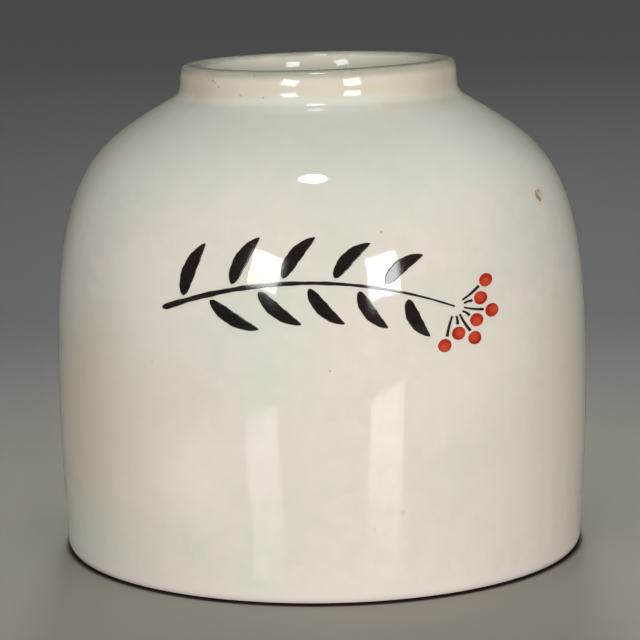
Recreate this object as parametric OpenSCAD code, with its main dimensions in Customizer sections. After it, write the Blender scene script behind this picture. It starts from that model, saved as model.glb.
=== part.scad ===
// Water coupe of glazed porcelain: a wide upright body, a domed shoulder and a low neck with a crowned lip.
// Three thrown clay sections are luted together with slip, glazed inside, outside and under the foot,
// and a small leafy spray is painted on the front in black and red enamel.
// Millimetres, +Z up, origin on the table at the centre of the foot, painted front towards -Y.

/* [Overall] */
// Height from the table to the crest of the lip
height = 79.5; // [70:0.5:100]
// Largest diameter, over the glaze
belly_d = 87; // [80:0.5:110]
// Height of the largest diameter above the table
belly_z = 27; // [20:0.5:34]

/* [Foot] */
// Diameter of the wall just above the rounded foot edge, over the glaze
foot_d = 85.4; // [76:0.2:110]
// Outward lean of the wall at the foot, in degrees
wall_taper = 1.8; // [0:0.1:5]
// Length over which the wall keeps that lean
taper_rise = 10; // [4:0.5:16]
// Length below the belly over which the wall stands upright
upright_rise = 12; // [4:0.5:16]
// Rounding of the outer foot edge
foot_edge_r = 1.5; // [0.9:0.1:3]
// Width of the flat standing ring
standing_w = 4.5; // [2:0.1:9]
// Depth of the recess inside the standing ring
recess_depth = 2.2; // [1.6:0.1:4]
// Cove between the recess and the standing ring
recess_cove = 1; // [0.6:0.1:1.5]

/* [Clay walls] */
// Thickness of the clay in the wall and the shoulder
wall_t = 3.2; // [2.2:0.1:5]
// Thickness of the clay in the floor
floor_t = 4; // [2.5:0.1:7]
// Rounding inside, between the floor and the wall
heel_r = 6; // [2:0.5:12]

/* [Shoulder] */
// Length over which the shoulder keeps the upright of the belly
shoulder_rise = 34.8; // [24:0.2:40]
// Length over which the shoulder keeps its slope at the neck
shoulder_reach = 15.7; // [8:0.1:20]
// Slope of the shoulder at the neck, in degrees above level
shoulder_slope = 30; // [15:1:45]

/* [Neck] */
// Diameter of the lip along its crest
crest_d = 40.8; // [34:0.1:48]
// Thickness of the lip, over both glazes
lip_t = 3.7; // [2.8:0.1:4.5]
// Rounding of the two edges of the lip, over the glaze
lip_edge_r = 0.9; // [0.7:0.1:1.3]
// Fall of the crown of the lip where it meets those edges, in degrees
lip_crown = 12; // [8:1:24]
// Slant at which the edges of the lip pass into the neck and the mouth, in degrees
lip_slant = 14; // [10:1:18]
// Radius of the gentle curve below the edges of the lip, over the glaze
neck_curve_r = 9; // [7:0.5:14]
// Outward lean of the neck at its waist, in degrees
neck_lean = 0.8; // [0.4:0.2:6]
// Height of the sweep from the shoulder up to the waist
sweep_h = 3.6; // [2.8:0.1:4.4]
// Spread of the sweep from the waist out to the shoulder
sweep_w = 2.1; // [1.5:0.1:2.8]
// Length over which the sweep keeps the lean of the waist
sweep_upright = 2.6; // [1.5:0.1:3.5]
// Length over which the sweep keeps the slope of the shoulder
sweep_reach = 1.3; // [0.5:0.1:1.5]
// How far the throat widens from the mouth into the shoulder
throat_w = 4; // [3.8:0.1:5]
// Height of the round at the top of the throat
throat_h = 1.5; // [0.8:0.1:2.2]

/* [Glaze] */
// Thickness of each coat of glaze
glaze_t = 0.35; // [0.2:0.05:0.6]
// Height of bare clay left round the foot
bare_foot = 0.6; // [0.5:0.1:1.4]

/* [Luting] */
// Height of the seam between the lower section and the shoulder
girth_seam_z = 46; // [40:0.5:54]
// Drop of the bevelled seam from outside to inside
bevel_drop = 1.6; // [0.5:0.1:3]
// Thickness of the slip in a seam
slip_t = 0.4; // [0.2:0.05:0.8]

/* [Painted spray] */
// Height of the enamel above the glaze
enamel_t = 0.15; // [0.1:0.01:0.4]
// Distance from the axis of the pot to the middle of the stem
spray_x = -2; // [-6:0.5:4]
// Height of the two ends of the stem
spray_z = 45; // [38:0.5:50]
// Length of the stem from end to end
stem_l = 44; // [36:0.5:48]
// Rise of the stem in the middle
stem_rise = 4.5; // [2:0.1:7]
// Greatest width of the stem stroke
stem_w = 0.9; // [0.5:0.05:1.6]
// Bare stem before the first leaf
stem_bare = 3; // [1:0.1:6]
// Bare stem after the last leaf
tip_bare = 8; // [7:0.1:10]
// Number of leaves
leaf_count = 10; // [5:1:11]
// Length of the first leaf
leaf_l = 8.6; // [6:0.1:9.5]
// How much shorter the last leaf is than the first
leaf_shrink = 2; // [0:0.1:3]
// Greatest width of a leaf
leaf_w = 2; // [1:0.1:2.4]
// Bend of a leaf
leaf_bend = 0.7; // [0.2:0.1:1.2]
// Angle between a leaf and the stem, in degrees
leaf_splay = 46; // [38:1:60]
// Gap between one brush stroke and the next
brush_gap = 0.35; // [0.2:0.05:0.6]
// Number of berries in the bunch at the tip of the stem
berry_count = 7; // [3:1:7]
// Diameter of a berry
berry_d = 2; // [1.4:0.1:2.2]
// Length of the longer stalks
long_stalk = 4.6; // [4:0.1:5.5]
// Length of the shorter stalks
short_stalk = 2.8; // [2.5:0.1:3.2]
// Width of a stalk
stalk_w = 0.45; // [0.3:0.05:0.6]
// Angle over which the bunch spreads, in degrees
bunch_spread = 140; // [130:1:150]
// Angle by which the bunch hangs below the line of the stem, in degrees
bunch_droop = 12; // [0:1:20]

/* [Hidden] */
$fn = 96;

// Steps along each curve of the profile
wall_steps = 8;
shoulder_steps = 36;
sweep_steps = 10;
round_steps = 8;
crown_steps = 3;

// Colours
clay_white = "#e9e2d3";
slip_white = "#f0ebe0";
glaze_white = "#dcd7ca";
ink_black = "#1b1615";
iron_red = "#b3281a";

// Sizes of the bare clay
belly_r = belly_d / 2 - glaze_t;
foot_r = foot_d / 2 - glaze_t;
curve_r = neck_curve_r - glaze_t;
floor_z = recess_depth + floor_t;
standing_r = foot_r - foot_edge_r * cos(wall_taper);
recess_r = standing_r - standing_w;

// A path is a list of stations [r, z, normal r, normal z].
function station(p, way, side) = [p.x, p.y, side * way.y / norm(way), -side * way.x / norm(way)];
function bezier(p, t) =
    len(p) == 1 ? p[0] : (1 - t) * bezier([for (i = [0 : len(p) - 2]) p[i]], t)
                         + t * bezier([for (i = [1 : len(p) - 1]) p[i]], t);
function bezier_way(p, t) = bezier([for (i = [0 : len(p) - 2]) p[i + 1] - p[i]], t);
function curve(p, steps, side) =
    [for (i = [0 : steps]) station(bezier(p, i / steps), bezier_way(p, i / steps), side)];
function arc(c, r, from, to, steps) =
    [for (i = [0 : steps]) let (a = from + (to - from) * i / steps)
        [c.x + r * cos(a), c.y + r * sin(a), cos(a), sin(a)]];
function between(a, b, share) = a + (b - a) * share;

// A point of the profile on the other side of the crest of the lip
function mirrored(p) = [crest_d - p.x, p.y];

// The line at a distance d along a path's normals
function offset_line(path, d) = [for (s = path) [s[0] + d * s[2], s[1] + d * s[3]]];
function reversed(list) = [for (i = [len(list) - 1 : -1 : 0]) list[i]];
function tail(list) = [for (i = [1 : len(list) - 1]) list[i]];

// Where a rising path crosses a height, and where its inward run crosses a radius
function at_z(path, z, i = 0) =
    i >= len(path) - 2 || path[i + 1][1] >= z
        ? between(path[i], path[i + 1], (z - path[i][1]) / (path[i + 1][1] - path[i][1]))
        : at_z(path, z, i + 1);
function at_r(path, r, i) =
    i <= 1 || path[i - 1][0] >= r
        ? between(path[i - 1], path[i], (r - path[i - 1][0]) / (path[i][0] - path[i - 1][0]))
        : at_r(path, r, i - 1);
function above(path, z) = concat([at_z(path, z)], [for (s = path) if (s[1] > z) s]);
function below(path, z) = concat([for (s = path) if (s[1] < z) s], [at_z(path, z)]);
function span(path, z0, z1) = below(above(path, z0), z1);

// Lip and the curves below it, outside and inside
crown_a = 90 - lip_crown;
crown_r = (lip_t / 2 - lip_edge_r * (1 - cos(crown_a))) / cos(crown_a);
crown_c = [crest_d / 2, height - crown_r];
edge_c = crown_c + (crown_r - lip_edge_r) * [cos(crown_a), sin(crown_a)];
neck_c = edge_c - (neck_curve_r - lip_edge_r) * [cos(lip_slant), sin(lip_slant)];
mouth_c = mirrored(neck_c);
mouth_r = mouth_c.x - curve_r;
waist = neck_c + curve_r * [cos(neck_lean), sin(neck_lean)];
waist_way = [-sin(neck_lean), cos(neck_lean)];
lip_out_path = concat(arc(neck_c, curve_r, neck_lean, lip_slant, round_steps),
                      tail(arc(edge_c, lip_edge_r - glaze_t, lip_slant, crown_a, round_steps)),
                      tail(arc(crown_c, crown_r - glaze_t, crown_a, 90, crown_steps)));
lip_in_path = concat(arc(mouth_c, curve_r, 180, 180 - lip_slant, round_steps),
                     tail(arc(mirrored(edge_c), lip_edge_r - glaze_t, 180 - lip_slant, 180 - crown_a,
                              round_steps)),
                     tail(arc(crown_c, crown_r - glaze_t, 180 - crown_a, 90, crown_steps)));

// Outside of the clay, from the standing ring up to the crest of the lip
foot_edge_c = [standing_r, foot_edge_r];
foot_top = [foot_r, foot_edge_r * (1 - sin(wall_taper))];
belly = [belly_r, belly_z];
shoulder_end = waist + [sweep_w, -sweep_h];
shoulder_way = [-cos(shoulder_slope), sin(shoulder_slope)];
foot_edge_path = arc(foot_edge_c, foot_edge_r, -90, -wall_taper, round_steps);
lower_path = curve([foot_top, foot_top + taper_rise * [sin(wall_taper), cos(wall_taper)],
                    belly - [0, upright_rise], belly], wall_steps, 1);
shoulder_path = curve([belly, belly + [0, shoulder_rise], shoulder_end - shoulder_reach * shoulder_way,
                       shoulder_end], shoulder_steps, 1);
sweep_path = curve([shoulder_end, shoulder_end + sweep_reach * shoulder_way,
                    waist - sweep_upright * waist_way, waist], sweep_steps, 1);
body_path = concat(foot_edge_path, tail(lower_path), tail(shoulder_path), tail(sweep_path));
outer_path = concat(body_path, tail(lip_out_path));

// Inside of the clay, from the middle of the floor up to the crest of the lip
wall_back = [for (s = body_path) if (s[1] > foot_edge_r)
             [s[0] - wall_t * s[2], s[1] - wall_t * s[3], -s[2], -s[3]]];
heel_top = at_z(wall_back, floor_z + heel_r);
heel_corner = [heel_top[0] + heel_r * heel_top[3] / heel_top[2], floor_z];
heel_path = curve([heel_corner - [heel_r, 0], heel_corner, [heel_top[0], heel_top[1]]], round_steps, -1);
throat_foot = at_r(wall_back, mouth_r + throat_w, len(wall_back) - 1);
throat_corner = [mouth_r, throat_foot[1] + throat_w * throat_foot[2] / throat_foot[3]];
throat_path = curve([[throat_foot[0], throat_foot[1]], throat_corner, throat_corner + [0, throat_h]],
                    round_steps, -1);
inner_path = concat([[0, floor_z, 0, 1]], heel_path,
                    [for (s = wall_back) if (s[1] > heel_top[1] && s[1] < throat_foot[1]) s],
                    throat_path, lip_in_path);

// Underside of the floor, from the middle of the recess down the inside of the standing ring
recess_corner = [recess_r, recess_depth];
recess_path = concat([[0, recess_depth, 0, -1]],
                     curve([recess_corner - [recess_cove, 0], recess_corner,
                            recess_corner - [0, recess_cove]], round_steps, 1));

// Seams, at their lower edges
girth_inner_z = girth_seam_z - bevel_drop;
collar_outer_z = shoulder_end.y;
collar_inner_z = throat_foot[1];

// Heights that the painted skin covers
spray_low_z = spray_z - leaf_l - berry_d;
spray_high_z = spray_z + stem_rise + leaf_l;

module turned(points) {
    rotate_extrude() polygon(points);
}

// Clay and slip

module lower_section() {
    color(clay_white)
    turned(concat(offset_line(below(outer_path, girth_seam_z), 0),
                  reversed(offset_line(below(inner_path, girth_inner_z), 0)),
                  offset_line(recess_path, 0),
                  [[recess_r, 0]]));
}

module girth_luting() {
    color(slip_white)
    turned(concat(offset_line(span(outer_path, girth_seam_z, girth_seam_z + slip_t), 0),
                  reversed(offset_line(span(inner_path, girth_inner_z, girth_inner_z + slip_t), 0))));
}

module shoulder_section() {
    color(clay_white)
    turned(concat(offset_line(span(outer_path, girth_seam_z + slip_t, collar_outer_z), 0),
                  reversed(offset_line(span(inner_path, girth_inner_z + slip_t, collar_inner_z), 0))));
}

module neck_luting() {
    color(slip_white)
    turned(concat(offset_line(span(outer_path, collar_outer_z, collar_outer_z + slip_t), 0),
                  reversed(offset_line(span(inner_path, collar_inner_z, collar_inner_z + slip_t), 0))));
}

module neck_collar() {
    color(clay_white)
    turned(concat(offset_line(above(outer_path, collar_outer_z + slip_t), 0),
                  tail(reversed(offset_line(above(inner_path, collar_inner_z + slip_t), 0)))));
}

// Glaze, meeting on the crest of the lip

module outer_glaze() {
    path = above(outer_path, bare_foot);
    color(glaze_white)
    turned(concat(offset_line(path, glaze_t), reversed(offset_line(path, 0))));
}

module inner_glaze() {
    color(glaze_white)
    turned(concat(offset_line(inner_path, 0), reversed(offset_line(inner_path, glaze_t))));
}

module base_glaze() {
    color(glaze_white)
    turned(concat(offset_line(recess_path, 0), reversed(offset_line(recess_path, glaze_t))));
}

// Painted spray

module enamel_skin() {
    path = span(outer_path, spray_low_z, spray_high_z);
    turned(concat(offset_line(path, glaze_t + enamel_t), reversed(offset_line(path, glaze_t))));
}

// Flat strokes, x across the front and y up from the ends of the stem, laid on the glaze from the front
module painted() {
    intersection() {
        enamel_skin();
        translate([spray_x, 0, spray_z]) rotate([90, 0, 0]) linear_extrude(belly_d) children();
    }
}

// A disc that rises by rise above a chord
module arc_disc(chord, rise) {
    r = (chord * chord / 4 + rise * rise) / (2 * rise);
    translate([0, rise - r]) circle(r);
}

// A brush stroke from end to end of a chord, bowed up by bow and tapered to both ends
module stroke(chord, bow, w) {
    if (bow > w / 2)
        difference() {
            arc_disc(chord, bow + w / 2);
            arc_disc(chord, bow - w / 2);
        }
    else
        intersection() {
            arc_disc(chord, bow + w / 2);
            mirror([0, 1]) arc_disc(chord, w / 2 - bow);
        }
}

// Leaves, evenly spaced along the arc of the stem from its left end and shorter towards its tip
stem_r = (stem_l * stem_l / 4 + stem_rise * stem_rise) / (2 * stem_rise);
stem_half_a = asin(stem_l / 2 / stem_r);
first_leaf_a = stem_half_a - stem_bare / stem_r * 180 / PI;
last_leaf_a = tip_bare / stem_r * 180 / PI - stem_half_a;
leaf_off = (stem_w / 2 + brush_gap) / sin(leaf_splay);
function leaf_share(i) = i / (leaf_count - 1);
function leaf_a(i) = between(first_leaf_a, last_leaf_a, leaf_share(i));
function leaf_length(i) = leaf_l - leaf_shrink * leaf_share(i);
function on_stem(a) = [-stem_r * sin(a), stem_r * cos(a) + stem_rise - stem_r];

// Berries, fanned round the tip of the stem on stalks that are long and short by turns
stem_tip = [stem_l / 2, 0];
bunch_from_a = -stem_half_a - bunch_droop - bunch_spread / 2;
stalk_step_a = bunch_spread / (berry_count - 1);
stalk_off = stalk_w / 2 / sin(stalk_step_a / 2) + brush_gap;
function stalk_a(i) = bunch_from_a + i * stalk_step_a;
function stalk_l(i) = i % 2 == 0 ? long_stalk : short_stalk;

module enamel_stem() {
    color(ink_black) painted() stroke(stem_l, stem_rise, stem_w);
}

module enamel_leaves() {
    color(ink_black)
    painted()
    for (i = [0 : leaf_count - 1]) {
        side = i % 2 == 0 ? 1 : -1;
        translate(on_stem(leaf_a(i))) rotate(leaf_a(i) + side * leaf_splay)
        translate([leaf_off + leaf_length(i) / 2, 0]) scale([1, side])
        stroke(leaf_length(i), leaf_bend, leaf_w);
    }
}

module enamel_stalks() {
    color(ink_black)
    painted()
    for (i = [0 : berry_count - 1])
        translate(stem_tip) rotate(stalk_a(i))
        translate([stalk_off, -stalk_w / 2]) square([stalk_l(i) - stalk_off, stalk_w]);
}

module enamel_berries() {
    color(iron_red)
    painted()
    for (i = [0 : berry_count - 1])
        translate(stem_tip) rotate(stalk_a(i))
        translate([stalk_l(i) + brush_gap + berry_d / 2, 0]) circle(d = berry_d);
}

lower_section();
girth_luting();
shoulder_section();
neck_luting();
neck_collar();
outer_glaze();
inner_glaze();
base_glaze();
enamel_stem();
enamel_leaves();
enamel_stalks();
enamel_berries();
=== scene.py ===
import math

import bpy
import numpy as np
from mathutils import Matrix, Vector


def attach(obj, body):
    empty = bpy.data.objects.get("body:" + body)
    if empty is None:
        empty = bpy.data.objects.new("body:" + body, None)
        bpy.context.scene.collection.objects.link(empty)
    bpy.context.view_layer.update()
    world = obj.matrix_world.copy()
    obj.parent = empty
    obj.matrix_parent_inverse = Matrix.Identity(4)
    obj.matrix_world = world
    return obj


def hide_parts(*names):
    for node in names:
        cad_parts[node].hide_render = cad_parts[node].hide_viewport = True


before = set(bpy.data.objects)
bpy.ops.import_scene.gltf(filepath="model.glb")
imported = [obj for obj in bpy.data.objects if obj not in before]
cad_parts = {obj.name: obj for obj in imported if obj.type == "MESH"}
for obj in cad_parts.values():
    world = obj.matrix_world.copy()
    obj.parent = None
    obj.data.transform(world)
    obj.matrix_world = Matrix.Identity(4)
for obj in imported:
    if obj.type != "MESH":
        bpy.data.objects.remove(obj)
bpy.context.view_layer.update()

mm = 0.001
nearAxis = 1e-6
sharpAngle = 50
scene = bpy.context.scene
print("frame loaded:", len(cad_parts), "nodes")


# colours are written as 8-bit display values
def paint(red, green, blue):
    def linear(value):
        share = value / 255
        return share / 12.92 if share <= 0.04045 else ((share + 0.055) / 1.055) ** 2.4
    return (linear(red), linear(green), linear(blue), 1.0)


# profile of the pot in millimetres: outer sizes are over the glaze, wall and floor are bare clay
potShape = {
    "height": 79.5,
    "bellyRadius": 43.5,
    "bellyHeight": 27.0,
    "footRadius": 42.7,
    "wallLean": 1.8,
    "leanRise": 10.0,
    "uprightRise": 12.0,
    "footEdge": 1.5,
    "bareFoot": 0.6,
    "standingWidth": 4.5,
    "recess": 2.2,
    "recessCove": 1.0,
    "wall": 3.2,
    "floor": 4.0,
    "heel": 6.0,
    "shoulderRise": 34.8,
    "shoulderReach": 15.7,
    "shoulderSlope": 30.0,
    "crestRadius": 20.4,
    "lip": 3.7,
    "lipEdge": 0.9,
    "lipCrown": 12.0,
    "lipSlant": 14.0,
    "neckCurve": 9.0,
    "neckLean": 0.8,
    "sweepHeight": 3.6,
    "sweepWidth": 2.1,
    "sweepUpright": 2.6,
    "sweepReach": 1.3,
    "throatWidth": 4.0,
    "throatHeight": 1.5,
    "glaze": 0.35,
    "columns": 360,
    "steps": {  # stations along each stretch of the profile
        "foot": 10, "wall": 26, "shoulder": 84, "sweep": 28, "neck": 12, "edge": 20, "crown": 8,
        "floor": 12, "heel": 14, "throat": 10, "recess": 10,
    },
    "hiddenEvery": 4,  # the side against the clay keeps one station in four
}


# a line is an array of stations: radius, height, normal radius, normal height
def bezierLine(points, steps, side):
    share = np.linspace(0, 1, steps + 1)[:, None]

    def blend(corners):
        while len(corners) > 1:
            corners = [(1 - share) * a + share * b for a, b in zip(corners, corners[1:])]
        return corners[0] + 0 * share
    corners = [np.array(p, float) for p in points]
    spots = blend(corners)
    way = blend([b - a for a, b in zip(corners, corners[1:])])
    way = way / np.linalg.norm(way, axis=1)[:, None]
    return np.column_stack([spots, side * way[:, 1], -side * way[:, 0]])


def arcLine(centre, radius, start, end, steps):
    turn = np.radians(np.linspace(start, end, steps + 1))
    around = np.column_stack([np.cos(turn), np.sin(turn)])
    return np.column_stack([np.array(centre) + radius * around, around])


def joined(*lines):
    kept = [lines[0]] + [line[1:] for line in lines[1:]]
    return np.vstack(kept)


def crossing(line, column, value):
    for a, b in zip(line, line[1:]):
        if (a[column] - value) * (b[column] - value) <= 0 and a[column] != b[column]:
            return a + (b - a) * (value - a[column]) / (b[column] - a[column])
    return line[-1]


def clayLines(pot):
    steps = pot["steps"]
    glaze = pot["glaze"]
    lean = math.radians(pot["wallLean"])
    slope = math.radians(pot["shoulderSlope"])
    tip = math.radians(pot["neckLean"])
    slant = math.radians(pot["lipSlant"])
    crownTurn = 90 - pot["lipCrown"]
    crownCos, crownSin = math.cos(math.radians(crownTurn)), math.sin(math.radians(crownTurn))
    crown = (pot["lip"] / 2 - pot["lipEdge"] * (1 - crownCos)) / crownCos
    crownCentre = np.array([pot["crestRadius"], pot["height"] - crown])
    edgeCentre = crownCentre + (crown - pot["lipEdge"]) * np.array([crownCos, crownSin])
    edgeRadius = pot["lipEdge"] - glaze
    curve = pot["neckCurve"] - glaze
    apart = pot["neckCurve"] - pot["lipEdge"]
    neckCentre = edgeCentre - apart * np.array([math.cos(slant), math.sin(slant)])

    def mirrored(point):
        return np.array([2 * pot["crestRadius"] - point[0], point[1]])
    mouthCentre = mirrored(neckCentre)
    mouth = mouthCentre[0] - curve
    waist = neckCentre + curve * np.array([math.cos(tip), math.sin(tip)])
    waistWay = np.array([-math.sin(tip), math.cos(tip)])
    foot = pot["footRadius"] - glaze
    standing = foot - pot["footEdge"] * math.cos(lean)
    footTop = np.array([foot, pot["footEdge"] * (1 - math.sin(lean))])
    belly = np.array([pot["bellyRadius"] - glaze, pot["bellyHeight"]])
    shoulderEnd = waist + [pot["sweepWidth"], -pot["sweepHeight"]]
    shoulderWay = np.array([-math.cos(slope), math.sin(slope)])

    body = joined(
        arcLine((standing, pot["footEdge"]), pot["footEdge"], -90, -pot["wallLean"], steps["foot"]),
        bezierLine([footTop, footTop + pot["leanRise"] * np.array([math.sin(lean), math.cos(lean)]),
                    belly - [0, pot["uprightRise"]], belly], steps["wall"], 1),
        bezierLine([belly, belly + [0, pot["shoulderRise"]],
                    shoulderEnd - pot["shoulderReach"] * shoulderWay, shoulderEnd], steps["shoulder"], 1),
        bezierLine([shoulderEnd, shoulderEnd + pot["sweepReach"] * shoulderWay,
                    waist - pot["sweepUpright"] * waistWay, waist], steps["sweep"], 1))
    outside = joined(
        body,
        arcLine(neckCentre, curve, pot["neckLean"], pot["lipSlant"], steps["neck"]),
        arcLine(edgeCentre, edgeRadius, pot["lipSlant"], crownTurn, steps["edge"]),
        arcLine(crownCentre, crown - glaze, crownTurn, 90, steps["crown"]))

    behind = body[body[:, 1] > pot["footEdge"]]
    back = np.column_stack([behind[:, :2] - pot["wall"] * behind[:, 2:], -behind[:, 2:]])
    floorTop = pot["recess"] + pot["floor"]
    heelTop = crossing(back, 1, floorTop + pot["heel"])
    heelCorner = np.array([heelTop[0] + pot["heel"] * heelTop[3] / heelTop[2], floorTop])
    throatFoot = crossing(back[::-1], 0, mouth + pot["throatWidth"])
    throatCorner = np.array([mouth, throatFoot[1] + pot["throatWidth"] * throatFoot[2] / throatFoot[3]])
    between = back[(back[:, 1] > heelTop[1]) & (back[:, 1] < throatFoot[1])]
    inside = np.vstack([
        bezierLine([[0.0, floorTop], heelCorner - [pot["heel"], 0]], steps["floor"], -1)[:-1],
        bezierLine([heelCorner - [pot["heel"], 0], heelCorner, heelTop[:2]], steps["heel"], -1),
        between,
        bezierLine([throatFoot[:2], throatCorner,
                    throatCorner + [0, pot["throatHeight"]]], steps["throat"], -1),
        arcLine(mouthCentre, curve, 180, 180 - pot["lipSlant"], steps["neck"]),
        arcLine(mirrored(edgeCentre), edgeRadius, 180 - pot["lipSlant"], 180 - crownTurn, steps["edge"])[1:],
        arcLine(crownCentre, crown - glaze, 180 - crownTurn, 90, steps["crown"])[1:]])

    recessCorner = np.array([standing - pot["standingWidth"], pot["recess"]])
    recess = joined(
        bezierLine([[0.0, pot["recess"]], recessCorner - [pot["recessCove"], 0]], steps["recess"], 1),
        bezierLine([recessCorner - [pot["recessCove"], 0], recessCorner,
                    recessCorner - [0, pot["recessCove"]]], steps["recess"], 1))
    return outside, inside, recess


outsideLine, insideLine, recessLine = clayLines(potShape)
glazedOutside = outsideLine[outsideLine[:, 1] >= potShape["bareFoot"]]
glazedOutside = np.vstack([crossing(outsideLine, 1, potShape["bareFoot"]), glazedOutside])
print("profile:", len(glazedOutside), "stations outside,", len(insideLine), "inside")


# unevenness left by the hand, lengths in millimetres
handMarks = {
    "wobble": (  # depth, waves round the pot, turn with height, phase
        (0.050, 2, 0.030, 0.6),
        (0.030, 3, -0.050, 1.9),
        (0.012, 5, 0.110, 4.0),
        (0.006, 1, 0.95, 0.0),
    ),
    "lipTilt": 0.32,
    "lipFrom": 72.5,
    "fadeFoot": 3.0,
}


def handWobble(angle, height):
    total = np.zeros(np.broadcast(angle, height).shape)
    for depth, turns, rise, phase in handMarks["wobble"]:
        total = total + depth * np.sin(turns * angle + rise * height + phase)
    return total * np.clip(height / handMarks["fadeFoot"], 0, 1)


# the lip runs a little uphill to the right
def lipLift(x, height):
    share = np.clip((height - handMarks["lipFrom"]) / (potShape["height"] - handMarks["lipFrom"]), 0, 1)
    return handMarks["lipTilt"] * x / potShape["crestRadius"] * share * share * (3 - 2 * share)


# turns a closed outline round the axis; seen stations carry the hand's unevenness
def turnedPiece(name, seen, hidden, wobbles):
    rows = np.vstack([seen, hidden[::-1]])
    columns = potShape["columns"]
    angle = np.linspace(0, 2 * math.pi, columns, endpoint=False)
    points = []
    rings = []
    for index, (radius, height, normalRadius, normalHeight) in enumerate(rows):
        turn = angle if radius > nearAxis else np.zeros(1)
        shift = handWobble(turn, height) if wobbles and index < len(seen) else np.zeros(len(turn))
        ringRadius = radius + shift * normalRadius
        x = ringRadius * np.cos(turn)
        y = ringRadius * np.sin(turn)
        z = height + shift * normalHeight + lipLift(x, height)
        rings.append(np.arange(len(turn)) + len(points))
        points.extend(np.column_stack([x, y, z]) * mm)
    faces = []
    for low, high in zip(rings, rings[1:] + rings[:1]):
        if len(low) == 1 and len(high) == 1:
            continue
        for i in range(columns):
            j = (i + 1) % columns
            if len(low) == 1:
                faces.append((low[0], high[j], high[i]))
            elif len(high) == 1:
                faces.append((low[i], low[j], high[0]))
            else:
                faces.append((low[i], low[j], high[j], high[i]))
    return meshPiece(name, points, faces)


def meshPiece(name, points, faces):
    mesh = bpy.data.meshes.new(name)
    mesh.from_pydata([tuple(p) for p in points], [], [tuple(int(i) for i in f) for f in faces])
    mesh.validate()
    mesh.shade_smooth()
    mesh.set_sharp_from_angle(angle=math.radians(sharpAngle))
    piece = bpy.data.objects.new(name, mesh)
    scene.collection.objects.link(piece)
    return piece


def offset(line, distance):
    return np.column_stack([line[:, :2] + distance * line[:, 2:], line[:, 2:]])


def thinned(line):
    return np.vstack([line[:-1:potShape["hiddenEvery"]], line[-1]])


def fit(piece, slot, *nodes):
    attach(piece, "root")
    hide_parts(*nodes)


glazeThick = potShape["glaze"]
outerGlaze = turnedPiece("outerGlaze", offset(glazedOutside, glazeThick), thinned(glazedOutside), True)
fit(outerGlaze, "white_glaze", "outer_glaze")
innerGlaze = turnedPiece("innerGlaze", offset(insideLine, glazeThick), thinned(insideLine), True)
fit(innerGlaze, "white_glaze", "inner_glaze")
baseGlaze = turnedPiece("baseGlaze", offset(recessLine, glazeThick), thinned(recessLine), False)
fit(baseGlaze, "white_glaze", "base_glaze")
print("glaze turned:", sum(len(p.data.polygons) for p in (outerGlaze, innerGlaze, baseGlaze)), "faces")


# painted spray, in millimetres: x across the front, y up from the ends of the stem
spray = {
    "x": -2.0,
    "z": 45.0,
    "enamel": 0.15,
    "sink": 0.03,
    "gap": 0.35,
    "stemLength": 44.0,
    "stemRise": 4.5,
    "stemWidth": 0.9,
    "stemBare": 3.0,
    "tipBare": 8.0,
    "leaves": 10,
    "leafLength": 8.6,
    "leafShrink": 2.0,
    "leafWidth": 2.0,
    "leafBend": 0.7,
    "leafSplay": 46.0,
    "berries": 7,
    "berryWidth": 2.0,
    "longStalk": 4.6,
    "shortStalk": 2.8,
    "stalkWidth": 0.45,
    "bunchSpread": 140.0,
    "bunchDroop": 12.0,
    "edgePower": 60,
    "leastWidth": 0.02,
    "fullInk": 0.85,
    "stemTaper": 0.72,
    "stemStart": (0.012, 0.35),  # length of the first touch, and its share of the width
    "stemRipples": ((0.10, 47, 0), (0.06, 113, 1)),  # depth, waves, phase
    "stemStreaks": (0.15, 30, 2),  # depth, waves along, waves across
    "leafRipples": ((0.035, 21, 2.1), (0.02, 47, 1.0)),  # depth, waves, phase from leaf to leaf
    "leafSwell": (0.55, 0.75),
    "leafHairs": (12, 2.3, 3),  # waves across, phase from leaf to leaf, waves along
    "leafDry": (0.5, 0.5),  # from where, how much
    "leafRim": (0.15, 6),  # depth, power
    "stalkStart": 0.6,
    "stalkSag": 0.10,
    "berryUneven": (0.03, 2.5, 1.9),  # depth, waves, phase from berry to berry
    "berryPale": (0.3, 1.7, 0.2, 0.85),  # off centre, turn from berry to berry, least ink, rise
    "stations": {"stem": 90, "leaf": 34, "stalk": 16, "berry": 26},
    "across": {"stem": 8, "leaf": 24, "stalk": 6, "berry": 20},
}
wallLine = offset(glazedOutside, glazeThick)
wallLine = wallLine[wallLine[:, 1] < potShape["height"] - potShape["lip"]]


# a point of the flat drawing, laid on the glaze from the front and raised by lift
def onGlaze(flat, lift):
    x = flat[..., 0] + spray["x"]
    height = flat[..., 1] + spray["z"]
    radius = np.interp(height, wallLine[:, 1], wallLine[:, 0])
    normalRadius = np.interp(height, wallLine[:, 1], wallLine[:, 2])
    normalHeight = np.interp(height, wallLine[:, 1], wallLine[:, 3])
    angle = -np.arccos(np.clip(x / radius, -1, 1))
    raised = lift + handWobble(angle, height)
    ringRadius = radius + raised * normalRadius
    level = height + raised * normalHeight
    return np.stack([ringRadius * np.cos(angle), ringRadius * np.sin(angle), level], -1)


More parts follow.
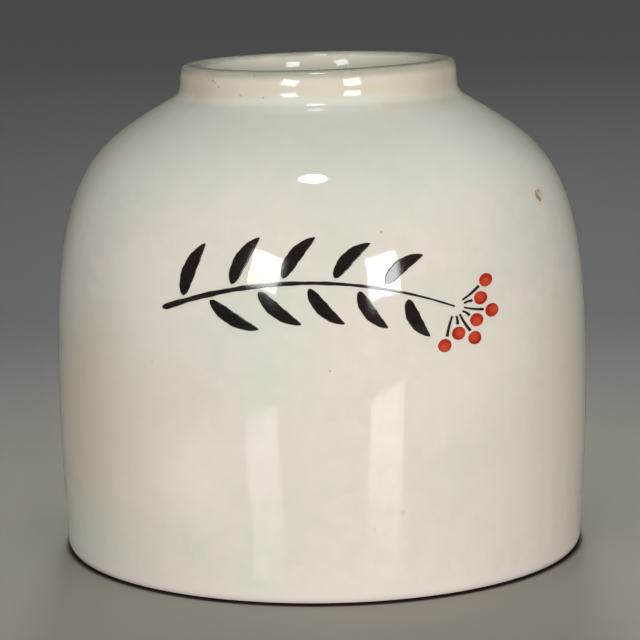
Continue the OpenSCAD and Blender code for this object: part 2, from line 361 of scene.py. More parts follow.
# one brush stroke: a row of stations with a half width, rounded off at its sides and closed underneath
def brushStroke(middle, halfWidth, across, body):
    way = np.gradient(middle, axis=0)
    way = way / np.linalg.norm(way, axis=1)[:, None]
    side = np.column_stack([-way[:, 1], way[:, 0]])
    share = np.sin(np.linspace(-1, 1, across + 1) * math.pi / 2)
    flat = middle[:, None, :] + side[:, None, :] * (halfWidth[:, None] * share)[..., None]
    along = np.linspace(0, 1, len(middle))[:, None]
    ink = body(along, share[None, :] + 0 * along)
    lift = spray["enamel"] * (1 - np.abs(share) ** spray["edgePower"])[None, :] + 0 * ink
    top = onGlaze(flat, lift)
    under = onGlaze(flat, -spray["sink"] + 0 * lift)
    ring = np.concatenate([top, under[:, ::-1]], axis=1)
    inkRing = np.concatenate([ink, ink[:, ::-1]], axis=1)
    count = ring.shape[1]
    points = ring.reshape(-1, 3) * mm
    faces = []
    for row in range(len(middle) - 1):
        for i in range(count):
            j = (i + 1) % count
            faces.append((row * count + i, row * count + j, (row + 1) * count + j, (row + 1) * count + i))
    last = (len(middle) - 1) * count
    faces.append(tuple(range(count - 1, -1, -1)))
    faces.append(tuple(range(last, last + count)))
    return points, faces, inkRing.reshape(-1)


def enamelPiece(name, strokes, slot, node):
    points = []
    faces = []
    ink = []
    for strokePoints, strokeFaces, strokeInk in strokes:
        start = len(points)
        points.extend(strokePoints)
        faces.extend(tuple(start + i for i in face) for face in strokeFaces)
        ink.extend(strokeInk)
    piece = meshPiece(name, points, faces)
    layer = piece.data.attributes.new("ink", "FLOAT", "POINT")
    layer.data.foreach_set("value", np.array(ink, np.float32))
    fit(piece, slot, node)
    return piece


stemRadius = (spray["stemLength"] ** 2 / 4 + spray["stemRise"] ** 2) / (2 * spray["stemRise"])
stemHalf = math.asin(spray["stemLength"] / 2 / stemRadius)


def onStem(angle):
    angle = np.asarray(angle, float)
    return np.stack([-stemRadius * np.sin(angle), stemRadius * (np.cos(angle) - 1) + spray["stemRise"]], -1)


def turnedFlat(flat, angle):
    across, up = math.cos(angle), math.sin(angle)
    return flat @ np.array([[across, up], [-up, across]])


def stemStrokes():
    share = np.linspace(0, 1, spray["stations"]["stem"])
    middle = onStem(stemHalf * (1 - 2 * share))
    touch, least = spray["stemStart"]
    taper = (1 - spray["stemTaper"] * share) * np.clip(share / touch, least, 1)
    ripple = 1 + sum(depth * np.sin(share * waves + phase) for depth, waves, phase in spray["stemRipples"])
    halfWidth = spray["stemWidth"] / 2 * taper * ripple
    streak, wavesAlong, wavesAcross = spray["stemStreaks"]

    def stemInk(t, u):
        return spray["fullInk"] + streak * np.cos(t * wavesAlong + u * wavesAcross)
    return [brushStroke(middle, halfWidth, spray["across"]["stem"], stemInk)]


def leafStrokes():
    strokes = []
    first = stemHalf - spray["stemBare"] / stemRadius
    last = spray["tipBare"] / stemRadius - stemHalf
    splay = math.radians(spray["leafSplay"])
    off = (spray["stemWidth"] / 2 + spray["gap"]) / math.sin(splay)
    share = np.linspace(0, 1, spray["stations"]["leaf"])
    rise, fall = spray["leafSwell"]
    wavesAcross, leafTurn, wavesAlong = spray["leafHairs"]
    dryFrom, dryness = spray["leafDry"]
    rim, rimPower = spray["leafRim"]
    for i in range(spray["leaves"]):
        along = i / (spray["leaves"] - 1)
        side = 1 if i % 2 == 0 else -1
        angle = first + (last - first) * along
        length = spray["leafLength"] - spray["leafShrink"] * along
        bow = side * spray["leafBend"] * 4 * share * (1 - share)
        leaf = np.column_stack([off + length * share, bow])
        middle = onStem(angle) + turnedFlat(leaf, angle + side * splay)
        swell = share ** rise * (1 - share) ** fall
        ripple = 1 + sum(depth * np.sin(share * waves + phase * i)
                         for depth, waves, phase in spray["leafRipples"])
        halfWidth = spray["leafWidth"] / 2 * swell / swell.max() * ripple + spray["leastWidth"]

        def leafInk(t, u, turn=leafTurn * i):
            dry = np.clip((t - dryFrom) / (1 - dryFrom), 0, 1) ** 2
            hairs = (1 + np.sin(wavesAcross * u + turn + wavesAlong * t)) / 2
            return np.clip(1 - dryness * dry * hairs - rim * np.abs(u) ** rimPower, 0, 1)
        strokes.append(brushStroke(middle, halfWidth, spray["across"]["leaf"], leafInk))
    return strokes


stalkStep = math.radians(spray["bunchSpread"]) / (spray["berries"] - 1)
stalkFrom = -stemHalf - math.radians(spray["bunchDroop"] + spray["bunchSpread"] / 2)
stemTip = np.array([spray["stemLength"] / 2, 0.0])


def stalkLength(i):
    return spray["longStalk"] if i % 2 == 0 else spray["shortStalk"]


def stalkStrokes():
    strokes = []
    start = spray["stalkWidth"] / 2 / math.sin(stalkStep / 2) + spray["gap"]
    share = np.linspace(0, 1, spray["stations"]["stalk"])

    def stalkInk(t, u):
        return spray["fullInk"] + 0 * t * u
    for i in range(spray["berries"]):
        reach = start + (stalkLength(i) - start) * share
        sag = spray["stalkSag"] * np.sin(math.pi * share) * (1 if i % 2 else -1)
        middle = stemTip + turnedFlat(np.column_stack([reach, sag]), stalkFrom + i * stalkStep)
        halfWidth = spray["stalkWidth"] / 2 * (spray["stalkStart"] + (1 - spray["stalkStart"]) * share)
        strokes.append(brushStroke(middle, halfWidth, spray["across"]["stalk"], stalkInk))
    return strokes


def berryStrokes():
    strokes = []
    radius = spray["berryWidth"] / 2
    share = np.linspace(-1, 1, spray["stations"]["berry"])
    depth, waves, phase = spray["berryUneven"]
    off, paleTurn, leastInk, rise = spray["berryPale"]
    for i in range(spray["berries"]):
        centre = stalkLength(i) + spray["gap"] + radius
        along = radius * np.sin(share * math.pi / 2)
        middle = stemTip + turnedFlat(np.column_stack([centre + along, 0 * along]), stalkFrom + i * stalkStep)
        uneven = 1 + depth * np.sin(waves * share + phase * i)
        halfWidth = np.sqrt(np.clip(radius ** 2 - along ** 2, 0, None)) * uneven + spray["leastWidth"]

        def berryInk(t, u, turn=paleTurn * i):
            run = np.sin((2 * t - 1) * math.pi / 2) - off * math.cos(turn)
            wide = u * np.cos((2 * t - 1) * math.pi / 2) - off * math.sin(turn)
            return np.clip(leastInk + rise * (run ** 2 + wide ** 2), 0, 1)
        strokes.append(brushStroke(middle, halfWidth, spray["across"]["berry"], berryInk))
    return strokes


enamelStem = enamelPiece("enamelStem", stemStrokes(), "black_enamel", "enamel_stem")
enamelLeaves = enamelPiece("enamelLeaves", leafStrokes(), "black_enamel", "enamel_leaves")
enamelStalks = enamelPiece("enamelStalks", stalkStrokes(), "black_enamel", "enamel_stalks")
enamelBerries = enamelPiece("enamelBerries", berryStrokes(), "red_enamel", "enamel_berries")
print("spray painted:", spray["leaves"], "leaves,", spray["berries"], "berries")


# node helpers
def addNode(tree, kind, **settings):
    made = tree.nodes.new(kind)
    for key, value in settings.items():
        setattr(made, key, value)
    return made


def join(tree, source, target):
    tree.links.new(source, target)


def feed(tree, socket, value):
    if isinstance(value, bpy.types.NodeSocket):
        join(tree, value, socket)
    else:
        socket.default_value = value


def sums(tree, operation, a, b=0.0, clamp=False):
    made = addNode(tree, "ShaderNodeMath", operation=operation, use_clamp=clamp)
    feed(tree, made.inputs[0], a)
    feed(tree, made.inputs[1], b)
    return made.outputs[0]


# sockets 6, 7 and 2 are the colour ones of a mix
def mixColour(tree, share, a, b):
    made = addNode(tree, "ShaderNodeMix", data_type="RGBA")
    feed(tree, made.inputs[0], share)
    feed(tree, made.inputs[6], a)
    feed(tree, made.inputs[7], b)
    return made.outputs[2]


def ramp(tree, value, low, high):
    made = addNode(tree, "ShaderNodeMapRange", interpolation_type="SMOOTHSTEP")
    feed(tree, made.inputs["Value"], value)
    feed(tree, made.inputs["From Min"], low)
    feed(tree, made.inputs["From Max"], high)
    return made.outputs["Result"]


def stretched(tree, share, low, high):
    made = addNode(tree, "ShaderNodeMapRange")
    feed(tree, made.inputs["Value"], share)
    made.inputs["To Min"].default_value = low
    made.inputs["To Max"].default_value = high
    return made.outputs["Result"]


def noise(tree, where, scale, detail=3.0, rough=0.5):
    made = addNode(tree, "ShaderNodeTexNoise")
    join(tree, where, made.inputs["Vector"])
    feed(tree, made.inputs["Scale"], scale)
    made.inputs["Detail"].default_value = detail
    made.inputs["Roughness"].default_value = rough
    return made.outputs["Fac"]


def newGroup(name, inputs, outputs):
    group = bpy.data.node_groups.new(name, "ShaderNodeTree")
    for label, kind, value in inputs:
        socket = group.interface.new_socket(label, in_out="INPUT", socket_type=kind)
        socket.default_value = value
    for label, kind in outputs:
        group.interface.new_socket(label, in_out="OUTPUT", socket_type=kind)
    return group, addNode(group, "NodeGroupInput"), addNode(group, "NodeGroupOutput")


def place(tree, group, **values):
    made = addNode(tree, "ShaderNodeGroup", node_tree=group)
    for label, value in values.items():
        feed(tree, made.inputs[label], value)
    return made.outputs


def objectPlace(tree):
    return addNode(tree, "ShaderNodeTexCoord").outputs["Object"]


# what the shared groups are made of
firedDetail = {
    "broad": (2.0, 0.55),  # detail and roughness of the noise
    "broadRange": (0.35, 0.68),
    "fine": (4.0, 0.6),
    "fineRange": (0.30, 0.72),
    "fineTimes": 5.0,
    "speckEdge": 0.06,
    "markRagged": 1.2,  # noise scale times the mark's radius
    "bandRagged": 110.0,
}


# soft cloudy patches in fired glaze or clay
def makeCloudGroup():
    group, source, result = newGroup("firedClouds", [("Scale", "NodeSocketFloat", 30.0)],
                                     [("Broad", "NodeSocketFloat"), ("Fine", "NodeSocketFloat")])
    where = objectPlace(group)
    broad = noise(group, where, source.outputs["Scale"], *firedDetail["broad"])
    fineScale = sums(group, "MULTIPLY", source.outputs["Scale"], firedDetail["fineTimes"])
    fine = noise(group, where, fineScale, *firedDetail["fine"])
    join(group, ramp(group, broad, *firedDetail["broadRange"]), result.inputs["Broad"])
    join(group, ramp(group, fine, *firedDetail["fineRange"]), result.inputs["Fine"])
    return group


# scattered pin specks; Amount is the share of cells that hold one
def makeSpeckGroup():
    group, source, result = newGroup("kilnSpecks", [("Scale", "NodeSocketFloat", 400.0),
                                                    ("Amount", "NodeSocketFloat", 0.05),
                                                    ("Size", "NodeSocketFloat", 0.2)],
                                     [("Mask", "NodeSocketFloat")])
    cells = addNode(group, "ShaderNodeTexVoronoi", feature="F1")
    join(group, objectPlace(group), cells.inputs["Vector"])
    join(group, source.outputs["Scale"], cells.inputs["Scale"])
    split = addNode(group, "ShaderNodeSeparateColor")
    join(group, cells.outputs["Color"], split.inputs["Color"])
    chosen = sums(group, "LESS_THAN", split.outputs["Red"], source.outputs["Amount"])
    size = sums(group, "MULTIPLY", source.outputs["Size"], split.outputs["Green"])
    past = sums(group, "SUBTRACT", cells.outputs["Distance"], size)
    dot = sums(group, "SUBTRACT", 1.0, ramp(group, past, 0.0, firedDetail["speckEdge"]))
    join(group, sums(group, "MULTIPLY", chosen, dot), result.inputs["Mask"])
    return group


# a single soft mark round one point
def makeMarkGroup():
    group, source, result = newGroup("singleMark", [("Centre", "NodeSocketVector", (0, 0, 0)),
                                                    ("Inner", "NodeSocketFloat", 0.0),
                                                    ("Outer", "NodeSocketFloat", 0.001),
                                                    ("Ragged", "NodeSocketFloat", 0.0)],
                                     [("Mask", "NodeSocketFloat")])
    where = objectPlace(group)
    apart = addNode(group, "ShaderNodeVectorMath", operation="DISTANCE")
    join(group, where, apart.inputs[0])
    join(group, source.outputs["Centre"], apart.inputs[1])
    fine = sums(group, "DIVIDE", firedDetail["markRagged"], source.outputs["Outer"])
    drift = sums(group, "SUBTRACT", noise(group, where, fine), 0.5)
    drift = sums(group, "MULTIPLY", drift, source.outputs["Ragged"])
    reach = sums(group, "ADD", apart.outputs["Value"], drift)
    fade = ramp(group, reach, source.outputs["Inner"], source.outputs["Outer"])
    join(group, sums(group, "SUBTRACT", 1.0, fade), result.inputs["Mask"])
    return group


# a band round the pot, full within Inner of its height and gone at Outer, ragged by a noise
def makeBandGroup():
    group, source, result = newGroup("levelBand", [("Height", "NodeSocketFloat", 0.0),
                                                   ("Inner", "NodeSocketFloat", 0.0),
                                                   ("Outer", "NodeSocketFloat", 0.005),
                                                   ("Ragged", "NodeSocketFloat", 0.0),
                                                   ("Tilt", "NodeSocketFloat", 0.0)],
                                     [("Mask", "NodeSocketFloat")])
    where = objectPlace(group)
    split = addNode(group, "ShaderNodeSeparateXYZ")
    join(group, where, split.inputs[0])
    uphill = sums(group, "MULTIPLY", split.outputs["X"], source.outputs["Tilt"])
    level = sums(group, "SUBTRACT", split.outputs["Z"], uphill)
    drift = sums(group, "SUBTRACT", noise(group, where, firedDetail["bandRagged"]), 0.5)
    level = sums(group, "ADD", level, sums(group, "MULTIPLY", drift, source.outputs["Ragged"]))
    apart = sums(group, "ABSOLUTE", sums(group, "SUBTRACT", level, source.outputs["Height"]))
    fade = ramp(group, apart, source.outputs["Inner"], source.outputs["Outer"])
    join(group, sums(group, "SUBTRACT", 1.0, fade), result.inputs["Mask"])
    return group


cloudGroup = makeCloudGroup()
speckGroup = makeSpeckGroup()
markGroup = makeMarkGroup()
bandGroup = makeBandGroup()


def newMaterial(name, **values):
    material = bpy.data.materials.new(name)
    material.use_nodes = True
    shader = material.node_tree.nodes["Principled BSDF"]
    for label, value in values.items():
        shader.inputs[label.replace("_", " ")].default_value = value
    return material, material.node_tree, shader


# scale, detail and roughness of the noise, then strength and depth of the bump
def addBump(tree, shader, scale, detail, rough, strength, depth):
    made = addNode(tree, "ShaderNodeBump")
    made.inputs["Strength"].default_value = strength
    made.inputs["Distance"].default_value = depth
    join(tree, noise(tree, objectPlace(tree), scale, detail, rough), made.inputs["Height"])
    join(tree, made.outputs["Normal"], shader.inputs["Normal"])


# scale, share of cells, size and strength of the specks
def addSpecks(tree, colour, tint, scale, amount, size, strength):
    specks = place(tree, speckGroup, Scale=scale, Amount=amount, Size=size)
    return mixColour(tree, sums(tree, "MULTIPLY", specks["Mask"], strength), colour, tint)


lipSlope = handMarks["lipTilt"] / potShape["crestRadius"]

# milky white glaze with cloudy tints, stained in the neck and pink above the foot, with painted light and
# shade in some bands and patches
glazeLook = {
    "milk": paint(231, 223, 211),
    "warm": paint(229, 216, 199),
    "cool": paint(222, 220, 207),
    "greenish": paint(219, 220, 205),
    "pinkish": paint(235, 222, 213),
    "index": 1.5,
    "cloudScale": 26.0,
    "warmScale": 17.0,
    "warmShare": 0.6,
    "mottleScale": 70.0,
    "mottle": 0.38,
    "fineMottle": 0.22,
    "grain": 0.035,
    "ragged": 1.1,
    "specks": (300.0, 0.003, 0.055, 0.55),
    "peel": (330.0, 2.0, 0.5, 0.06, 0.0002),
    "neckStain": paint(219, 208, 188),
    "shoulderTint": paint(217, 217, 203),
    "lipTint": paint(168, 165, 146),
    "crestLine": paint(112, 106, 84),
    "mouthTint": paint(221, 216, 201),
    "footBlush": paint(234, 223, 217),
    "speck": paint(128, 92, 58),
    "roughness": (0.025, 0.06),
    "marks": (  # place in millimetres, inner and outer radius, colour, strength
        # chip high on the right
        ((34.0, -20.0, 59.3), 0.75, 1.15, paint(138, 114, 84), 0.8),
        ((34.4, -19.2, 59.7), 0.75, 1.20, paint(214, 202, 181), 0.95),
        ((34.2, -19.4, 60.1), 0.10, 0.30, paint(92, 70, 48), 0.95),
        # pin marks and specks, most of them at the neck
        ((-17.2, -14.3, 77.9), 0.10, 0.90, paint(206, 198, 150), 0.6),
        ((-18.4, -12.6, 78.1), 0.10, 1.20, paint(206, 180, 164), 0.5),
        ((-16.9, -14.8, 77.5), 0.02, 0.28, paint(116, 92, 62), 0.8),
        ((-16.6, -15.1, 77.6), 0.04, 0.30, paint(92, 70, 46), 0.9),
        ((-16.3, -15.4, 77.3), 0.02, 0.26, paint(104, 80, 54), 0.8),
        ((-15.7, -16.1, 76.7), 0.02, 0.25, paint(128, 104, 74), 0.6),
        ((-10.0, -19.9, 78.6), 0.04, 0.32, paint(136, 116, 84), 0.7),
        ((-12.2, -19.0, 75.5), 0.02, 0.28, paint(150, 128, 96), 0.6),
        ((-8.6, -20.9, 75.3), 0.02, 0.26, paint(150, 128, 96), 0.6),
        ((9.0, -39.5, 56.7), 0.04, 0.30, paint(128, 84, 62), 0.85),
        ((1.1, -43.3, 36.4), 0.02, 0.26, paint(170, 146, 120), 0.7),
        ((-25.9, -34.8, 36.5), 0.02, 0.30, paint(170, 150, 120), 0.6),
        ((11.9, -41.6, 14.1), 0.10, 0.80, paint(206, 198, 182), 0.7),
        ((7.6, -42.5, 11.7), 0.10, 0.60, paint(210, 202, 186), 0.5),
        # stains in the sweep under the neck
        ((15.1, -17.2, 75.2), 0.50, 6.00, paint(209, 199, 176), 0.5),
        ((19.2, -12.0, 75.8), 0.50, 6.50, paint(200, 188, 162), 0.45),
        ((11.1, -20.3, 74.4), 0.30, 3.00, paint(214, 204, 182), 0.5),
        ((-18.7, -12.7, 76.0), 0.50, 6.00, paint(205, 190, 168), 0.45),
        # broad tints of the body, among them painted light and shade
        ((-26.0, -34.8, 27.0), 1.00, 15.0, paint(236, 222, 202), 0.34),
        ((-21.5, -37.5, 33.0), 0.50, 7.00, paint(228, 215, 192), 0.22),
        ((29.6, -31.5, 14.0), 1.00, 13.0, paint(238, 222, 200), 0.40),
        ((-9.0, -42.4, 22.0), 1.00, 12.0, paint(230, 217, 207), 0.45),
        # painted light: lighter patches on the front flanks, this line and the next
        ((-20.5, -38.4, 20.0), 1.00, 13.0, paint(245, 236, 224), 0.50),
        ((19.0, -39.0, 32.5), 1.00, 12.0, paint(240, 232, 218), 0.40),
        ((20.0, -25.0, 67.5), 1.00, 13.0, paint(229, 227, 214), 0.50),
        # painted shade: darker at the front of the shoulder, where the front lamp falls strongest
        ((1.0, -38.0, 60.0), 2.00, 16.0, paint(211, 209, 196), 0.45),
        # painted light: lighter patches on the front flanks, this line and the next
        ((-26.0, -34.6, 45.0), 2.00, 15.0, paint(241, 233, 220), 0.42),
        ((28.0, -33.0, 36.0), 2.00, 15.0, paint(240, 231, 217), 0.36),
        ((-37.5, -21.5, 27.0), 3.00, 25.0, paint(221, 203, 182), 0.50),
        ((38.5, -19.5, 27.0), 3.00, 21.0, paint(228, 214, 190), 0.40),
        # painted shade: darker grey towards the outline on both sides, to the end of the list
        ((-32.0, -6.0, 69.0), 1.00, 13.0, paint(192, 184, 171), 0.32),
        ((-38.5, -6.0, 61.5), 1.00, 13.0, paint(192, 184, 171), 0.34),
        ((-42.0, -6.0, 52.5), 1.00, 12.0, paint(196, 187, 173), 0.28),
        ((33.5, -6.0, 68.0), 1.00, 13.0, paint(192, 185, 172), 0.34),
    ),
}


def glazeMaterial(name, look, stainAndShadeBands):
    material, tree, shader = newMaterial(name, IOR=look["index"])
    clouds = place(tree, cloudGroup, Scale=look["cloudScale"])
    colour = mixColour(tree, clouds["Broad"], look["cool"], look["milk"])
    warmth = place(tree, cloudGroup, Scale=look["warmScale"])
    colour = mixColour(tree, sums(tree, "MULTIPLY", warmth["Broad"], look["warmShare"]), colour, look["warm"])
    mottle = place(tree, cloudGroup, Scale=look["mottleScale"])
    tint = mixColour(tree, mottle["Broad"], look["greenish"], look["pinkish"])
    colour = mixColour(tree, look["mottle"], colour, tint)
    tint = mixColour(tree, mottle["Fine"], look["pinkish"], look["greenish"])
    colour = mixColour(tree, look["fineMottle"], colour, tint)
    grain = sums(tree, "MULTIPLY", mottle["Fine"], look["grain"])
    colour = mixColour(tree, grain, colour, look["speck"])
    # bands round the pot: stains and tints, with painted shade and painted reflection at the lip and in the
    # mouth
    for height, inner, outer, ragged, tint, strength, patchy in stainAndShadeBands:
        band = place(tree, bandGroup, Height=height * mm, Inner=inner * mm, Outer=outer * mm,
                     Ragged=ragged * mm, Tilt=lipSlope if height > handMarks["lipFrom"] else 0.0)
        patch = sums(tree, "ADD", sums(tree, "MULTIPLY", mottle["Fine"], patchy), 1 - patchy)
        share = sums(tree, "MULTIPLY", band["Mask"], sums(tree, "MULTIPLY", patch, strength))
        colour = mixColour(tree, share, colour, tint)
    colour = addSpecks(tree, colour, look["speck"], *look["specks"])
    # marks: a chip, specks and stains, and patches of painted light and shade
    for centre, inner, outer, tint, strength in look["marks"]:
        spot = place(tree, markGroup, Centre=tuple(c * mm for c in centre), Inner=inner * mm,
                     Outer=outer * mm, Ragged=outer * look["ragged"] * mm)
        colour = mixColour(tree, sums(tree, "MULTIPLY", spot["Mask"], strength), colour, tint)
    join(tree, colour, shader.inputs["Base Color"])
    join(tree, stretched(tree, clouds["Fine"], *look["roughness"]), shader.inputs["Roughness"])
    addBump(tree, shader, *look["peel"])
    return material


# height, inner and outer half width, raggedness, colour, strength, patchiness
outerStainsAndShade = (
    (72.0, 3.0, 18.0, 4.0, glazeLook["shoulderTint"], 0.75, 0.3),
    (77.1, 1.3, 2.2, 2.6, glazeLook["neckStain"], 0.9, 0.35),
    # darker greenish grey over the lip: partly the glaze's tone at the rim, partly painted shade on the lip's
    # rounded top
    (79.3, 0.35, 1.50, 0.5, glazeLook["lipTint"], 0.9, 0.2),
    # painted reflection: a thin dark line along the crest of the lip
    (79.6, 0.10, 0.24, 0.1, glazeLook["crestLine"], 0.35, 0.3),
    (1.2, 0.0, 2.4, 0.8, glazeLook["footBlush"], 0.6, 0.5),
)
innerStainsAndShade = (
    # painted shade: greyer and a little darker inside the mouth
    (77.0, 3.0, 8.0, 2.0, glazeLook["mouthTint"], 0.9, 0.3),
    # painted reflection: the same thin dark line on the inner side of the crest
    (79.3, 0.15, 0.60, 0.3, glazeLook["crestLine"], 0.5, 0.5),
    (30.0, 0.0, 4.0, 3.0, glazeLook["warm"], 0.6, 0.8),
)
baseStains = ((2.0, 0.0, 1.0, 0.6, glazeLook["cool"], 0.6, 0.8),)
outerGlaze.data.materials.append(glazeMaterial("milkyGlaze", glazeLook, outerStainsAndShade))
innerGlaze.data.materials.append(glazeMaterial("mouthGlaze", glazeLook, innerStainsAndShade))
baseGlaze.data.materials.append(glazeMaterial("footGlaze", glazeLook, baseStains))

# bare fired clay, flashed dark brown where the glaze stops; the dark flash is partly painted shade in the
# narrow gap under the glaze's edge
clayLook = {
    "biscuit": paint(222, 208, 184),
    "slip": paint(230, 220, 200),
    "flashAndShade": paint(112, 60, 40),
    "dirt": paint(84, 62, 48),
    "roughness": 0.85,
    "cloudScale": 70.0,
    "dirtShare": 0.25,
    "flashAndShadeBand": (0.8, 0.45, 0.8, 0.3),  # height, inner and outer half width, raggedness
    "flashAndShadeLeast": 0.6,
    "specks": (900.0, 0.10, 0.3, 0.6),
    "grit": (2600.0, 4.0, 0.7, 0.35, 0.0003),
}


def clayMaterial(name, look):
    material, tree, shader = newMaterial(name, Roughness=look["roughness"])
    clouds = place(tree, cloudGroup, Scale=look["cloudScale"])
    height, inner, outer, ragged = look["flashAndShadeBand"]
    # painted shade: the dark brown band at the foot also stands for the shade under the glaze's edge
    flashAndShade = place(tree, bandGroup, Height=height * mm, Inner=inner * mm, Outer=outer * mm, Ragged=ragged * mm)
    dirt = sums(tree, "MULTIPLY", clouds["Fine"], look["dirtShare"])
    colour = mixColour(tree, dirt, look["biscuit"], look["dirt"])
    patches = sums(tree, "ADD", clouds["Broad"], look["flashAndShadeLeast"])
    share = sums(tree, "MULTIPLY", flashAndShade["Mask"], patches, clamp=True)
    colour = mixColour(tree, share, colour, look["flashAndShade"])
    colour = addSpecks(tree, colour, look["dirt"], *look["specks"])
    join(tree, colour, shader.inputs["Base Color"])
    addBump(tree, shader, *look["grit"])
    return material


# the clay pieces keep their CAD shapes and take a finish
def clayFinish(material, *nodes):
    for node in nodes:
        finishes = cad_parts[node].data.materials
        finishes.clear()
        finishes.append(material)


bareClay = clayMaterial("bareClay", clayLook)
lutingSlip = clayMaterial("lutingSlip", dict(clayLook, biscuit=clayLook["slip"]))
clayFinish(bareClay, "lower_section", "shoulder_section", "neck_collar")
clayFinish(lutingSlip, "girth_luting", "neck_luting")

# enamels: thin paint lets the glaze through
inkLook = {"thick": paint(15, 11, 12), "thin": paint(72, 54, 50), "roughness": 0.08}
redLook = {"thick": paint(166, 28, 14), "thin": paint(214, 82, 50), "roughness": 0.1}
enamelLook = {
    "index": 1.65,
    "cloudScale": 900.0,
    "cloudShare": 0.35,
    "leastDepth": 0.75,
    "grain": (3000.0, 3.0, 0.6, 0.1, 0.00005),
}


def enamelMaterial(name, look):
    material, tree, shader = newMaterial(name, Roughness=look["roughness"], IOR=enamelLook["index"])
    ink = addNode(tree, "ShaderNodeAttribute", attribute_name="ink")
    clouds = place(tree, cloudGroup, Scale=enamelLook["cloudScale"])
    cover = sums(tree, "MULTIPLY", clouds["Fine"], enamelLook["cloudShare"])
    cover = sums(tree, "ADD", cover, enamelLook["leastDepth"])
    depth = sums(tree, "MULTIPLY", ink.outputs["Fac"], cover, clamp=True)
    join(tree, mixColour(tree, depth, look["thin"], look["thick"]), shader.inputs["Base Color"])
    addBump(tree, shader, *enamelLook["grain"])
    return material


inkEnamel = enamelMaterial("inkEnamel", inkLook)
ironRed = enamelMaterial("ironRed", redLook)
for piece in (enamelStem, enamelLeaves, enamelStalks):
    piece.data.materials.append(inkEnamel)
enamelBerries.data.materials.append(ironRed)
print("materials made:", len(bpy.data.materials))

# floor, air and lamps: the floor and the lamps in metres, the lamps' target in millimetres
studio = {
    # floor colours: lighter near the pot and darker far off, a painted pool of light, and a painted shadow
    # ring under the foot
    "floorNear": paint(162, 157, 146),
    "floorFar": paint(120, 122, 123),
    "floorLightPool": (0.07, 0.24),
    "floorClouds": (14.0, 0.12),
    "footShade": paint(50, 34, 28),
    "underFoot": (0.0424, 0.0436),
    "polishedFrom": (0.044, 0.060),
    "polishedEdge": (-0.2128, -0.08, 0.009),  # front, slant, half of its softness
    "floorRoughness": (0.7, 0.135),  # dull, polished
    "floorIndex": 1.5,
    "floorSize": 6.0,
    "airLight": paint(152, 153, 152),
    "airSeen": paint(88, 84, 78),
    "target": (0.0, -40.0, 45.0),
    "panels": (  # name, azimuth, elevation, distance, width, height, roll, spread, watts, lights, mirrored
        ("panelLeft", -25.1, 12.5, 1.0, 0.234, 0.215, -13.7, 180, 1.5, True, True),
        ("panelRight", 27.3, 10.6, 1.0, 0.25, 0.2325, 4.7, 180, 1.9, True, True),
        ("lampAbove", -8.6, 72.6, 1.0, 0.16, 0.16, 0.0, 180, 1.8, False, True),
        ("fillFront", 5.5, 4.5, 1.2, 1.35, 0.16, 0.0, 180, 7.4, True, False),
        ("skyAbove", 0.0, 86.5, 1.3, 0.55, 0.55, 0.0, 180, 1.8, True, False),
        ("fillBack", 178.0, 12.0, 1.6, 0.50, 0.40, 0.0, 24, 0.42, True, False),
    ),
}


# soft disc on the floor round the foot
def floorDisc(tree, inner, outer):
    return place(tree, markGroup, Centre=(0, 0, 0), Inner=inner, Outer=outer)["Mask"]


def floorColour(tree):
    # painted light: the floor is lighter in a broad pool round the pot and darker far off
    pool = floorDisc(tree, *studio["floorLightPool"])
    scale, depth = studio["floorClouds"]
    clouds = place(tree, cloudGroup, Scale=scale)
    patches = sums(tree, "ADD", 1 - depth, sums(tree, "MULTIPLY", clouds["Broad"], depth))
    shade = sums(tree, "MULTIPLY", pool, patches)
    colour = mixColour(tree, shade, studio["floorFar"], studio["floorNear"])
    # painted shadow: a dark ring on the floor right under the foot
    return mixColour(tree, floorDisc(tree, *studio["underFoot"]), colour, studio["footShade"])


# dull where it is seen, polished where the glaze mirrors it, behind a slanted front edge
def floorRough(tree):
    front, slant, soft = studio["polishedEdge"]
    split = addNode(tree, "ShaderNodeSeparateXYZ")
    join(tree, objectPlace(tree), split.inputs[0])
    line = sums(tree, "SUBTRACT", split.outputs["Y"], sums(tree, "MULTIPLY", split.outputs["X"], slant))
    polish = ramp(tree, line, front - soft, front + soft)
    polish = sums(tree, "SUBTRACT", polish, floorDisc(tree, *studio["polishedFrom"]), clamp=True)
    rays = addNode(tree, "ShaderNodeLightPath")
    polish = sums(tree, "MULTIPLY", polish, rays.outputs["Is Glossy Ray"])
    return stretched(tree, polish, *studio["floorRoughness"])


def makeFloor():
    half = studio["floorSize"] / 2
    points = [(-half, -half, 0), (half, -half, 0), (half, half, 0), (-half, half, 0)]
    floor = meshPiece("floor", points, [(0, 1, 2, 3)])
    material, tree, shader = newMaterial("paleFloor", IOR=studio["floorIndex"])
    join(tree, floorColour(tree), shader.inputs["Base Color"])
    join(tree, floorRough(tree), shader.inputs["Roughness"])
    floor.data.materials.append(material)


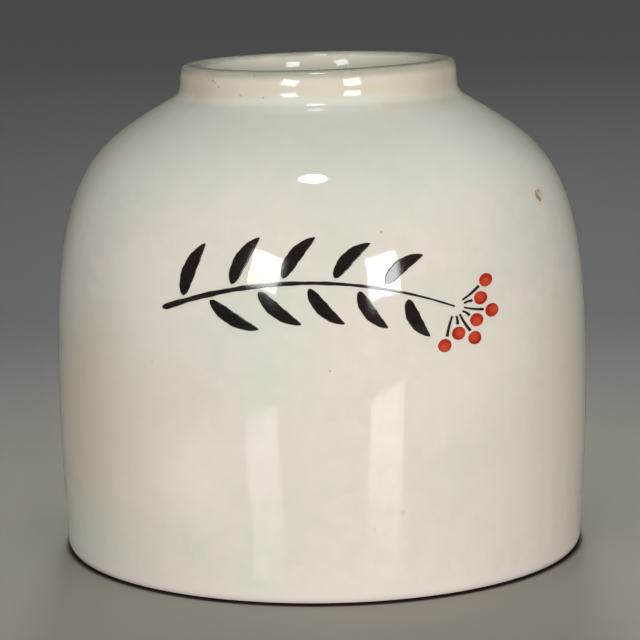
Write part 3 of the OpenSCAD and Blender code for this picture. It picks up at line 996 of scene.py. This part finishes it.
def makeLamp(name, azimuth, elevation, distance, width, height, roll, spread, watts, lights, mirrored):
    data = bpy.data.lights.new(name, "AREA")
    data.shape = "RECTANGLE" if width != height else "DISK"
    data.size = width
    if width != height:
        data.size_y = height
    data.spread = math.radians(spread)
    data.energy = watts
    lamp = bpy.data.objects.new(name, data)
    lamp.visible_diffuse = lights
    lamp.visible_glossy = mirrored
    turn = math.radians(azimuth)
    rise = math.radians(elevation)
    way = Vector((math.sin(turn) * math.cos(rise), -math.cos(turn) * math.cos(rise), math.sin(rise)))
    lamp.location = Vector(studio["target"]) * mm + way * distance
    facing = way.to_track_quat("Z", "Y").to_matrix().to_4x4()
    facing = facing @ Matrix.Rotation(math.radians(roll), 4, "Z")
    lamp.matrix_world = Matrix.Translation(lamp.location) @ facing
    scene.collection.objects.link(lamp)


# camera fitted to the outline in the photograph, in millimetres and degrees
eye = {
    "place": (0.0, -417.8, 109.186),
    "pitch": 9.854,
    "roll": -0.783,
    "yaw": -0.037,
    "lens": 144.16,
    "sensor": 36.0,
    "nearest": 0.01,
}


def makeCamera():
    data = bpy.data.cameras.new("eye")
    data.lens = eye["lens"]
    data.sensor_width = eye["sensor"]
    data.clip_start = eye["nearest"]
    camera = bpy.data.objects.new("eye", data)
    pitch, roll, yaw = (math.radians(eye[k]) for k in ("pitch", "roll", "yaw"))
    ahead = Vector((math.sin(yaw) * math.cos(pitch), math.cos(yaw) * math.cos(pitch), -math.sin(pitch)))
    level = Vector((math.cos(yaw), -math.sin(yaw), 0))
    upright = level.cross(ahead)
    right = math.cos(roll) * level + math.sin(roll) * upright
    up = -math.sin(roll) * level + math.cos(roll) * upright
    turn = Matrix((right, up, -ahead)).transposed().to_4x4()
    camera.matrix_world = Matrix.Translation(Vector(eye["place"]) * mm) @ turn
    scene.collection.objects.link(camera)
    scene.camera = camera


# the air lights the pot evenly, and looks a darker grey where it is seen or mirrored
def makeAir():
    world = bpy.data.worlds.new("studioAir")
    scene.world = world
    world.use_nodes = True
    tree = world.node_tree
    rays = addNode(tree, "ShaderNodeLightPath")
    seen = sums(tree, "MAXIMUM", rays.outputs["Is Camera Ray"], rays.outputs["Is Glossy Ray"])
    colour = mixColour(tree, seen, studio["airLight"], studio["airSeen"])
    join(tree, colour, tree.nodes["Background"].inputs["Color"])


makeFloor()
for panel in studio["panels"]:
    makeLamp(*panel)
makeAir()
makeCamera()
scene.view_settings.view_transform = "Standard"
print("studio lit:", len(studio["panels"]), "lamps")
